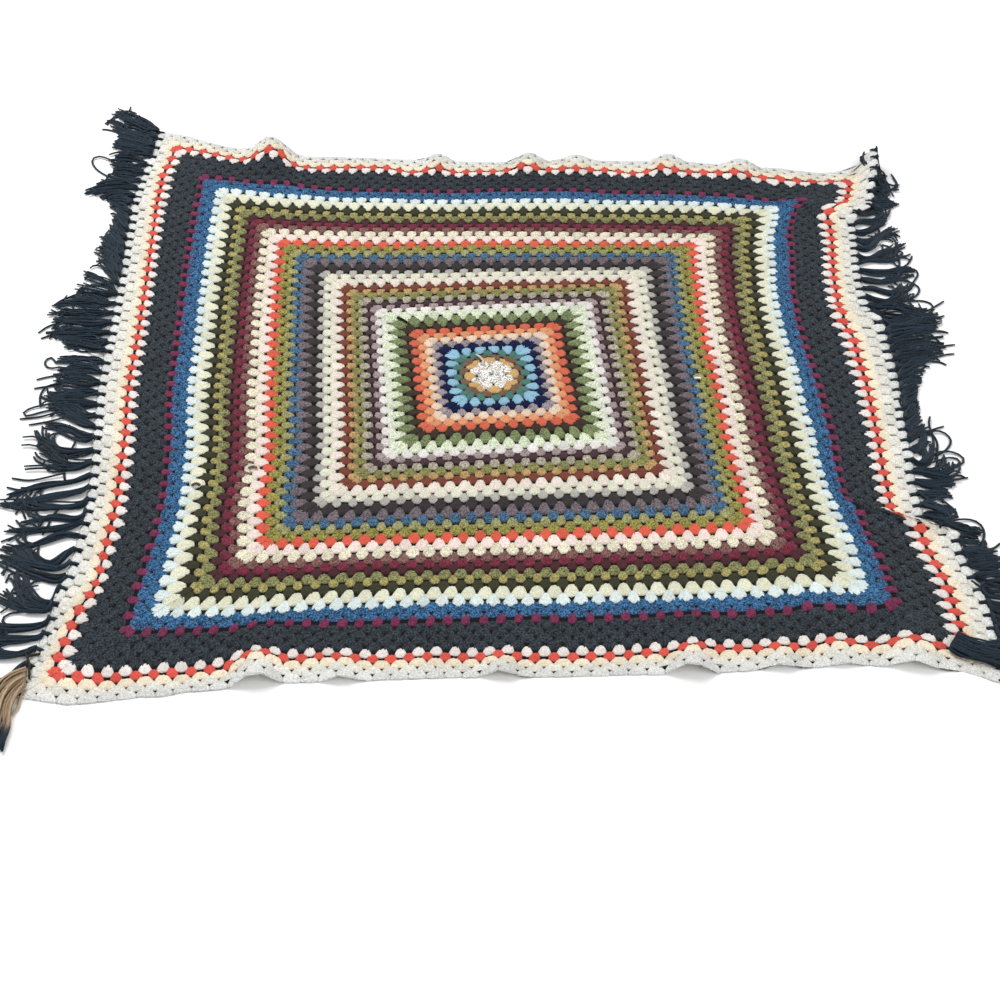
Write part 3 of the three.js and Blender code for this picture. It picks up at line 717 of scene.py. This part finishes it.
FRINGE_RIGHT = np.array([
    (-650, 24, -8, 70, -30), (-555, 11, -21, 43, -38), (-523, 12, -13, 45, -29),
    (-493, 13, -16, 47, -25), (-467, 22, 3, 57, 6), (-438, 23, 2, 61, 4), (-404, 19, -3, 58, 4),
    (-373, 16, -1, 37, -2), (-354, 30, 12, 50, 9), (-303, 24, -2, 56, -12), (-269, 23, 1, 53, -4),
    (-232, 43, -7, 86, 2), (-216, 32, 7, 51, 42), (-193, 24, 0, 49, 43), (-163, 13, 10, 46, 37),
    (-130, 14, 10, 29, 33), (-101, 12, 18, 32, 36), (-64, 15, 22, 38, 35), (-22, 12, 13, 39, 20),
    (5, 17, 17, 53, 31), (26, 30, 19, 84, 37), (54, 35, 18, 98, 30), (82, 31, 17, 105, 38),
    (127, 30, 11, 94, 29), (181, 44, -9, 111, 4), (202, 50, 1, 111, 3), (228, 45, -7, 98, 23),
    (261, 34, -2, 107, 28), (306, 50, 6, 107, 14), (353, 43, 0, 82, 47), (382, 36, 3, 89, 42),
    (422, 33, 6, 72, 39), (451, 37, 13, 81, 43), (471, 42, 18, 80, 42), (526, 18, 3, 39, 2),
    (579, 18, 17, 22, -27), (609, 19, 22, 18, -29), (650, 10, 20, -16, 22),
])
# How far the tassels spread into one another, by the flat Y of their knots.
SPREAD_LEFT = np.array([(-650, 0.3), (-260, 0.25), (-175, 0.55), (-60, 0.8), (160, 0.75),
                        (204, 1.0), (400, 0.9), (530, 1.0), (560, 1.3)])
SPREAD_RIGHT = np.array([(-650, 0.9), (-290, 0.8), (-240, 0.35), (-163, 0.5), (-130, 1.0),
                         (185, 1.0), (205, 0.3), (475, 0.35), (520, 1.0)])
# Single strands lying loose or in loops, by their places.
STRAYS_LEFT = [
    [(-720, 610), (-750, 630), (-765, 618), (-752, 587), (-723, 561), (-708, 558)],
    [(-712, 575), (-723, 561), (-731, 538)],
    [(-700, 775), (-720, 788), (-736, 780), (-746, 760), (-757, 742)],
    [(-690, 762), (-722, 778), (-745, 762), (-753, 738)],
    [(-700, 185), (-714, 196), (-732, 199), (-746, 190), (-756, 176)],
    [(-700, 145), (-737, 128), (-756, 120), (-769, 101)],
    [(-700, 110), (-735, 99), (-751, 93), (-762, 86)],
    [(-690, 5), (-717, 12), (-735, 8), (-747, 24), (-737, 42), (-726, 24)],
    [(-680, 4), (-710, -6), (-732, -11), (-750, -19)],
    [(-680, -18), (-709, -31), (-733, -36), (-750, -41)],
    [(-705, -30), (-731, -34), (-738, -56), (-732, -82)],
    [(-690, -75), (-714, -80), (-738, -84), (-758, -96), (-752, -110), (-730, -98), (-712, -92)],
    [(-690, -95), (-713, -104), (-735, -111), (-759, -114)],
    [(-670, -105), (-698, -115), (-722, -123), (-742, -128)],
    [(-650, -195), (-681, -192), (-702, -181), (-721, -163), (-727, -150)],
    [(-650, -205), (-680, -199), (-705, -178), (-727, -141)],
    [(-664, -188), (-660, -160), (-668, -142), (-678, -128)],
    [(-672, -198), (-665, -215), (-668, -235), (-663, -254)],
    [(-665, -240), (-694, -249), (-719, -255), (-745, -249)],
    [(-665, -258), (-698, -268), (-724, -277), (-749, -269)],
    [(-645, -312), (-660, -315), (-669, -330), (-671, -348), (-676, -369)],
    [(-655, -355), (-683, -366), (-709, -369), (-735, -384)],
    [(-645, -520), (-673, -523), (-694, -523), (-706, -536), (-692, -549), (-672, -547)],
]
STRAYS_RIGHT = [
    [(725, 535), (737, 541), (752, 536), (763, 548), (764, 566), (758, 592)],
    [(715, 548), (730, 538), (750, 541), (764, 556), (759, 580)],
    [(690, 340), (704, 345), (720, 335), (738, 333), (749, 341)],
    [(705, 330), (713, 313), (722, 297), (740, 310), (751, 334)],
    [(715, 395), (730, 380), (724, 350), (727, 325), (721, 297)],
    [(715, 290), (731, 297), (751, 296), (753, 280), (738, 256)],
    [(715, 262), (736, 255), (749, 243), (741, 222), (722, 206)],
    [(690, 196), (714, 201), (745, 208), (764, 196), (756, 176)],
    [(720, 165), (744, 173), (764, 189), (783, 205)],
    [(715, 140), (739, 145), (755, 156), (776, 165)],
    [(705, 112), (734, 118), (761, 125), (774, 118)],
    [(715, 72), (743, 79), (761, 84), (779, 87)],
    [(710, 42), (738, 52), (757, 61), (773, 63)],
    [(705, 48), (731, 42), (745, 42), (754, 34)],
    [(701, -98), (695, -118), (699, -140), (692, -178)],
    [(670, -138), (687, -133), (705, -124), (720, -118)],
    [(690, -140), (702, -129), (720, -134), (727, -152), (715, -173), (694, -188)],
    [(685, -190), (702, -178), (722, -178), (737, -188), (737, -202), (716, -216), (690, -222)],
    [(685, -205), (700, -197), (718, -190), (733, -197), (722, -211), (698, -217)],
    [(695, -135), (703, -155), (696, -187), (690, -218)],
    [(675, -236), (697, -243), (719, -239), (735, -236)],
    [(680, -285), (694, -298), (702, -309), (700, -324)],
    [(680, -345), (690, -331), (719, -326), (735, -336), (736, -360), (724, -382)],
    [(690, -365), (707, -351), (724, -340), (734, -352)],
    [(695, -392), (714, -386), (740, -391), (756, -376)],
    [(700, -402), (726, -403), (742, -406), (753, -415)],
    [(705, -430), (727, -431), (740, -444), (755, -437)],
    [(695, -455), (711, -473), (716, -500), (734, -512)],
]
# Their height at the start, their tips' height over the floor, and how soon they sink.
STRAY_REST = 5.0
STRAY_TIP = 0.4
STRAY_DROP = 1.6
# Bunches of strands, by their number, the height of the lowest and of the bunch, and the
# places of the first and last: the tassel of the near left corner, of dark yarn with painted
# sunlight (beige) on all but its tips, more strands of the far left corner's tassels, the
# tassels that lie over the near right corner, and the small tuft on the far right one.
CORNER_TASSEL = (
    40, STRAND_RADIUS, 12,
    [(-650, -628), (-676, -638), (-690, -664), (-686, -706), (-676, -748)],
    [(-646, -664), (-654, -680), (-657, -702), (-656, -730), (-658, -764)],
)
FAR_LEFT_FILL = (
    34, STRAND_RADIUS, 8,
    [(-650, 678), (-682, 700), (-714, 716)],
    [(-650, 632), (-692, 646), (-730, 658)],
)
OVER_CORNER = (
    40, 8.0, 7,
    [(652, -560), (668, -571), (690, -577), (714, -578), (742, -574)],
    [(634, -588), (650, -603), (676, -614), (704, -622), (736, -640)],
)
FAR_TUFT = (
    26, 25.0, 8,
    [(702, 584), (699, 600), (700, 614), (707, 626)],
    [(722, 580), (728, 596), (730, 610), (727, 622)],
)
# How the strands of a bunch mix, sway (in half waves) and sink to their tips.
BUNCH_MIX = 0.06
BUNCH_SWAY = 3.2
BUNCH_WAVES = (1, 2.4)
BUNCH_SINK = 0.5
# Painted sunlight on the corner strands: where it gives way to their dark tips, over how much.
SUNLIT_BEIGE = "B39B7C"
SUNLIT_UNTIL = 0.6
SUNLIT_FADE = 0.2

# A tassel's strands spread from its knot: how far to each side along the edge, as a share of
# the pitch, how much that differs, and how soon along a strand.
ROOT_REACH = 0.56
ROOT_CHANCE = 2.5
ROOT_SPREAD = 2.6
# A tassel that keeps to itself turns and swings as one: how much at no spread and at the
# least, by what chance it turns and swings, in how many waves, and its length.
APART_MOST = 1.15
APART_LEAST = 0.15
TURN_CHANCE = 0.12
SWING_CHANCE = 0.34
SWING_WAVES = (0.7, 1.3)
LENGTH_RANGE = (0.9, 1.08)
# Each strand's own wave: its strength alone in a tight tassel and what a spread one adds.
LOOSE_LEAST = 0.2
LOOSE_MORE = 0.8
WAVE_CHANCE = 0.26
OWN_WAVES = (0.6, 1.6)
# A share of the strands curl at their tips: by how much, from how far along, and over what.
CURL_SHARE = 0.33
CURL_RANGE = (0.5, 2.6)
CURL_FROM = 0.7
CURL_OVER = 0.3
CURL_POWER = 1.5
# Strands are a little longer than their guides, or fall short of them.
LONGEST = 1.04
SHORTEN = 0.34
SHORTEN_POWER = 1.7
# Height of a tassel's pile, how it sinks to the tips, and how soon a strand drops from its
# knot to the pile.
PILE = 7.5
PILE_POWER = 1.2
PILE_SINK = 0.6
KNOT_RISE = 1.2
KNOT_DROP = 2.4
# Where the strands leave the knot: out from the edge, and to each side.
KNOT_OUT = 2.5
KNOT_HALF = 3.0
# Chance differences of shade between strands, and their limits.
STRAND_SHADE = 0.24
SHADE_LIMITS = (0.5, 1.7)

# Stations of a knot's loop from inside its gap to beyond the edge:
# outward from the edge, rise, half width, half height.
LOOP = np.array([
    (-10, 2.6, 1.6, 1.4), (-5, 4.4, 2.8, 1.8), (0, 4.2, 3.4, 2.2), (4, 3.4, 3.0, 2.0),
])
# Stations of the band across it: along the edge, rise.
BAND = np.array([(-4.4, 1.8), (-2.8, 5.2), (0, 6.6), (2.8, 5.2), (4.4, 1.8)])
BAND_OUT = 1.5
BAND_RADIUS = 1.5
BAND_RADII = np.array([0.6, 1, 1, 1, 0.6]) * BAND_RADIUS
LOOP_SIDES = 5

DARK = linear(FRINGE_COLOUR)
# Painted sunlight (beige) on the near left corner's strands, turning dark towards their tips.
DARK_SHARE = smooth((ALONG[:, None] - SUNLIT_UNTIL) / SUNLIT_FADE)
SUNLIT_TO_DARK = linear(SUNLIT_BEIGE) + (DARK - linear(SUNLIT_BEIGE)) * DARK_SHARE


def strand_path(start, root, lie, sign, swing, loose):
    """One strand of a tassel.

    It leaves the knot at start, spreads to root, its own place on the edge, and follows the
    guide lie, the places of its middle and tip from there. swing is the wave of its tassel:
    strength, waves to a strand and phase. loose is the strength of the wave of its own.
    """
    share = ALONG[:, None]
    middle, tip = lie[None, :2], lie[None, 2:]
    line = middle * 4 * share * (1 - share) + tip * share * (2 * share - 1)
    moves = np.diff(line, axis=0) * np.array([sign, 1.0])
    reach = np.hypot(*moves.T)
    heading = np.arctan2(moves[:, 1], moves[:, 0])
    mid_share = (ALONG[1:] + ALONG[:-1]) / 2
    waves = swing[0] * np.sin(2 * np.pi * (mid_share * swing[1] + swing[2]))
    waves += loose * chance.normal(0, WAVE_CHANCE) * np.sin(
        2 * np.pi * (mid_share * chance.uniform(*OWN_WAVES) + chance.random()))
    curl = 0.0
    if chance.random() < CURL_SHARE:
        curl = chance.choice([-1, 1]) * chance.uniform(*CURL_RANGE)
    curled = np.clip((mid_share - CURL_FROM) / CURL_OVER, 0, 1) ** CURL_POWER
    heading = heading + waves + curl * curled
    reach = reach * (LONGEST - SHORTEN * chance.random() ** SHORTEN_POWER)
    steps = np.stack([np.cos(heading), np.sin(heading)], axis=1) * reach[:, None]
    path = np.zeros((STRAND_STEPS + 1, 3))
    path[1:, :2] = np.cumsum(steps, axis=0)
    path[:, :2] += start[:2] + (root[:2] - start[:2]) * smooth(share * ROOT_SPREAD)
    layer = chance.random() ** PILE_POWER
    path[:, 2] = STRAND_RADIUS + PILE * layer * (1 - PILE_SINK * ALONG)
    path[:, 2] += (start[2] + KNOT_RISE) * np.clip(1 - KNOT_DROP * ALONG, 0, 1) ** 2
    return path


def curve(points):
    """A rounded line through places, in equal steps."""
    line = np.array(points, float)
    for _ in range(3):
        early = line[:-1] * 0.75 + line[1:] * 0.25
        late = line[:-1] * 0.25 + line[1:] * 0.75
        cut = np.stack([early, late], axis=1).reshape(-1, line.shape[1])
        line = np.concatenate([line[:1], cut, line[-1:]])
    along = np.concatenate([[0], np.cumsum(np.linalg.norm(np.diff(line, axis=0), axis=1))])
    steps = np.linspace(0, along[-1], STRAND_STEPS + 1)
    return np.stack([np.interp(steps, along, column) for column in line.T], axis=1)


def stray_path(points):
    """A loose strand through places, sinking to the floor."""
    path = np.zeros((STRAND_STEPS + 1, 3))
    path[:, :2] = curve(points)
    low = STRAND_RADIUS + STRAY_TIP
    path[:, 2] = STRAY_REST + (low - STRAY_REST) * smooth(ALONG * STRAY_DROP)
    return path


def bunch_paths(count, rest, height, *borders):
    """Strands lying between two border strands, in layers."""
    first, last = (curve(border) for border in borders)
    share = ALONG[:, None]
    paths = []
    for slot in range(count):
        place = (slot + 0.5) / count + chance.normal(0, BUNCH_MIX) * (1 - 2 * share)
        flat = first + (last - first) * np.clip(place, 0, 1)
        sway = chance.normal(0, BUNCH_SWAY, 2) * np.sin(
            np.pi * (share * chance.uniform(*BUNCH_WAVES) + chance.random()))
        path = np.zeros((STRAND_STEPS + 1, 3))
        path[:, :2] = flat + sway * np.clip(share * 3, 0, 1)
        path[:, 2] = rest + height * chance.random() * (1 - BUNCH_SINK * ALONG)
        paths.append(path)
    return paths


def tassel_paths(sign, table, spreads):
    """The strands of the tassels of one side, and the loops and bands of their knots."""
    strands, loops, knot_bands = [], [], []
    gaps = [gap * PITCH - HALF for gap in range(1, ROUNDS)]
    flat_y = np.array([CORNER_INSET - HALF, *gaps, HALF - CORNER_INSET])
    flat_x = np.full(len(flat_y), sign * HALF)
    edge = laid(flat_x, flat_y)
    run = laid(flat_x, flat_y + EDGE_STEP) - laid(flat_x, flat_y - EDGE_STEP)
    out = np.stack([sign * run[:, 1], -sign * run[:, 0]], axis=1)
    out /= np.linalg.norm(out, axis=1)[:, None]
    along = run[:, :2] / np.linalg.norm(run[:, :2], axis=1)[:, None]
    across = 2 * (np.arange(STRANDS) + 0.5) / STRANDS - 1
    for index, at in enumerate(flat_y):
        spread = np.interp(at, spreads[:, 0], spreads[:, 1])
        wander = across * PITCH * ROOT_REACH * spread
        wander += chance.normal(0, ROOT_CHANCE * spread, STRANDS)
        roots_y = np.clip(at + wander, -HALF, HALF)
        roots = laid(np.full(STRANDS, sign * HALF), roots_y)
        apart = max(APART_LEAST, APART_MOST - spread)
        turn = chance.normal(0, TURN_CHANCE) * apart
        strength = chance.normal(0, SWING_CHANCE) * apart
        swing = strength, chance.uniform(*SWING_WAVES), chance.random()
        length = chance.uniform(*LENGTH_RANGE)
        loose = LOOSE_LEAST + LOOSE_MORE * spread
        # The near left corner's own strands are left out; a bunch with painted sunlight takes
        # their place.
        sunlit_corner = sign < 0 and index == 0
        for slot in range(0 if sunlit_corner else STRANDS):
            start = edge[index].copy()
            start[:2] += out[index] * KNOT_OUT + along[index] * across[slot] * KNOT_HALF
            lie = np.array([np.interp(roots_y[slot], table[:, 0], guide)
                            for guide in table.T[1:]])
            lie = (lie + turn * np.array([-lie[1], lie[0], -lie[3], lie[2]])) * length
            strands.append(strand_path(start, roots[slot], lie, sign, swing, loose))
        loops.append(np.column_stack([
            edge[index][:2] + out[index] * LOOP[:, :1], edge[index][2] + LOOP[:, 1]]))
        knot_bands.append(np.column_stack([
            edge[index][:2] + out[index] * BAND_OUT + along[index] * BAND[:, :1],
            edge[index][2] + BAND[:, 1]]))
    return strands, loops, knot_bands


def tube_piece(name, groups, material):
    """Groups of equal tubes joined in one mesh.

    A group is its paths, its tubes' half widths and half heights, their sides and colour.
    """
    made = []
    total = sum(len(group[0]) for group in groups)
    start = 0
    for paths, half_widths, half_heights, sides, colour in groups:
        window = (0, start / total, 1, (start + len(paths)) / total)
        start += len(paths)
        paths = np.array(paths)
        ones = np.ones(paths.shape[:2])
        shape = tubes(paths, half_widths * ones, half_heights * ones, sides)
        count, stations = paths.shape[:2]
        tint = np.clip(1 + chance.normal(0, STRAND_SHADE, (count, 1, 1)), *SHADE_LIMITS)
        shades = tint * np.repeat(np.broadcast_to(colour, (stations, 3)), sides, axis=0)
        flecks = np.full(shades.shape[:2] + (1,), PLAIN_FLECK)
        coords = np.zeros((count, stations, sides, 3))
        length = np.linalg.norm(np.diff(paths, axis=1), axis=2)
        coords[:, 1:, :, 0] = np.cumsum(length, axis=1)[..., None]
        coords[..., 1] = (np.arange(sides) / sides)[None, None, :]
        made.append(build(name, shape.reshape(count, -1, 3), tube_faces(stations, sides),
                          np.concatenate([shades, flecks], axis=2), material, coords,
                          window=window))
    bpy.ops.object.select_all(action="DESELECT")
    for piece in made:
        piece.select_set(True)
    bpy.context.view_layer.objects.active = made[0]
    bpy.ops.object.join()
    made[0].name = name
    return made[0]


def fringe(name, sign, table, spreads, strays):
    """The tassels of one side and what lies over and beside them."""
    strands, loops, knot_bands = tassel_paths(sign, table, spreads)
    strands += [stray_path(stray) for stray in strays]
    groups = [
        (strands, *STRAND_FORM, DARK),
        (loops, LOOP[:, 2], LOOP[:, 3], LOOP_SIDES, DARK),
        (knot_bands, BAND_RADII, BAND_RADII, LOOP_SIDES, DARK),
    ]
    if sign < 0:
        # The near left corner's tassel: dark yarn with painted sunlight on all but its tips.
        groups.append((bunch_paths(*CORNER_TASSEL), *STRAND_FORM, SUNLIT_TO_DARK))
        more = bunch_paths(*FAR_LEFT_FILL)
    else:
        more = bunch_paths(*OVER_CORNER) + bunch_paths(*FAR_TUFT)
    groups.append((more, *STRAND_FORM, DARK))
    return tube_piece(name, groups, TASSEL)


fringes = [fringe("tassels_left", -1, FRINGE_LEFT, SPREAD_LEFT, STRAYS_LEFT),
           fringe("tassels_right", 1, FRINGE_RIGHT, SPREAD_RIGHT, STRAYS_RIGHT)]

# ---- loose ends and knots in the crochet ----

TAIL_REST = 6.5
TAIL_SIDES = 5
# Their colour, and the places of each.
TAIL_GROUPS = [
    ("E9E5DD", [
        [(-32, 48), (-25, 41), (-19, 32), (-22, 22)],
        [(328, -9), (333, -7), (339, -9)],
    ]),
    ("16161B", [[(-167, 144), (-158, 140), (-149, 131)]]),
    ("8C6C7A", [
        [(-467, -267), (-461, -261), (-454, -266)],
        [(-384, -228), (-378, -223), (-371, -227)],
    ]),
    ("39352F", [
        [(-643, -588), (-653, -591), (-659, -599), (-653, -607), (-647, -625), (-643, -647)],
        [(-653, -606), (-645, -604), (-636, -602)],
    ]),
]


def tails_piece():
    """The loose ends, in one mesh."""
    groups = []
    for colour, lines in TAIL_GROUPS:
        paths = [np.column_stack([curve(line), np.full(STRAND_STEPS + 1, TAIL_REST)])
                 for line in lines]
        groups.append((paths, TAPER, TAPER, TAIL_SIDES, linear(colour)))
    return tube_piece("loose_ends", groups, CROCHET)


bands.append(tails_piece())

# ---- the scene ----

FLOOR_HALF = 12.0
FLOOR_WHITE = (0.9, 0.9, 0.9, 1)
SKY_STRENGTH = 0.55
# The photo's view: its turn, tip and roll in degrees, the place on the floor in the middle of
# the picture, how far off the camera stands in metres, and the lens on its sensor.
VIEW_ANGLES = (1.4, 45, 1.3)
VIEW_MIDDLE = (5.3, -288.5, 0)
VIEW_DISTANCE = 2.5855
SENSOR_WIDTH = 36
LENS = 60.84

for piece in [shade_sheet, *bands]:
    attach(piece, "root")
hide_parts("cloth")
for piece, replaced in zip(fringes, ["fringe_left", "fringe_right"]):
    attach(piece, "root")
    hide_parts(replaced)


def floor():
    mesh = bpy.data.meshes.new("floor")
    corners = [(x * FLOOR_HALF, y * FLOOR_HALF, 0)
               for x, y in ((-1, -1), (1, -1), (1, 1), (-1, 1))]
    mesh.from_pydata(corners, [], [(0, 1, 2, 3)])
    material = bpy.data.materials.new("floor_white")
    tree = nodes_of(material)
    finish_surface(tree, {
        "Base Color": FLOOR_WHITE, "Roughness": 0.9, "Specular IOR Level": 0.1})
    mesh.materials.append(material)
    made = placed("floor", mesh)


def area_light(name, place, size, power):
    """A round lamp that faces the middle of the cloth."""
    data = bpy.data.lights.new(name, "AREA")
    data.shape = "DISK"
    data.size = size
    data.energy = power
    lamp = placed(name, data)
    lamp.location = place
    lamp.rotation_euler = (-Vector(place)).to_track_quat("-Z", "Y").to_euler()


def camera():
    """The photo's view."""
    turn, tip, roll = (math.radians(angle) for angle in VIEW_ANGLES)
    target = Vector(VIEW_MIDDLE) * MM
    ahead = Vector((
        math.sin(turn) * math.cos(tip), math.cos(turn) * math.cos(tip), -math.sin(tip)))
    right = ahead.cross(Vector((0, 0, 1))).normalized()
    up = right.cross(ahead)
    right_rolled = right * math.cos(roll) + up * math.sin(roll)
    up_rolled = up * math.cos(roll) - right * math.sin(roll)
    data = bpy.data.cameras.new("camera")
    data.sensor_width = SENSOR_WIDTH
    data.lens = LENS
    data.clip_end = 100
    made = placed("camera", data)
    axes = Matrix((right_rolled, up_rolled, -ahead)).transposed().to_4x4()
    made.matrix_world = Matrix.Translation(target - ahead * VIEW_DISTANCE) @ axes
    bpy.context.scene.camera = made


floor()
area_light("key", (-1.6, 1.4, 3.4), size=2.6, power=120)
area_light("fill", (2.0, -2.2, 3.0), size=3.0, power=60)
world = bpy.data.worlds.new("studio")
bpy.context.scene.world = world
world_tree = nodes_of(world)
sky = node(world_tree, "ShaderNodeBackground", {
    "Color": (1, 1, 1, 1), "Strength": SKY_STRENGTH})
node(world_tree, "ShaderNodeOutputWorld", {"Surface": sky.outputs[0]})
bpy.context.scene.view_settings.view_transform = "Standard"
camera()
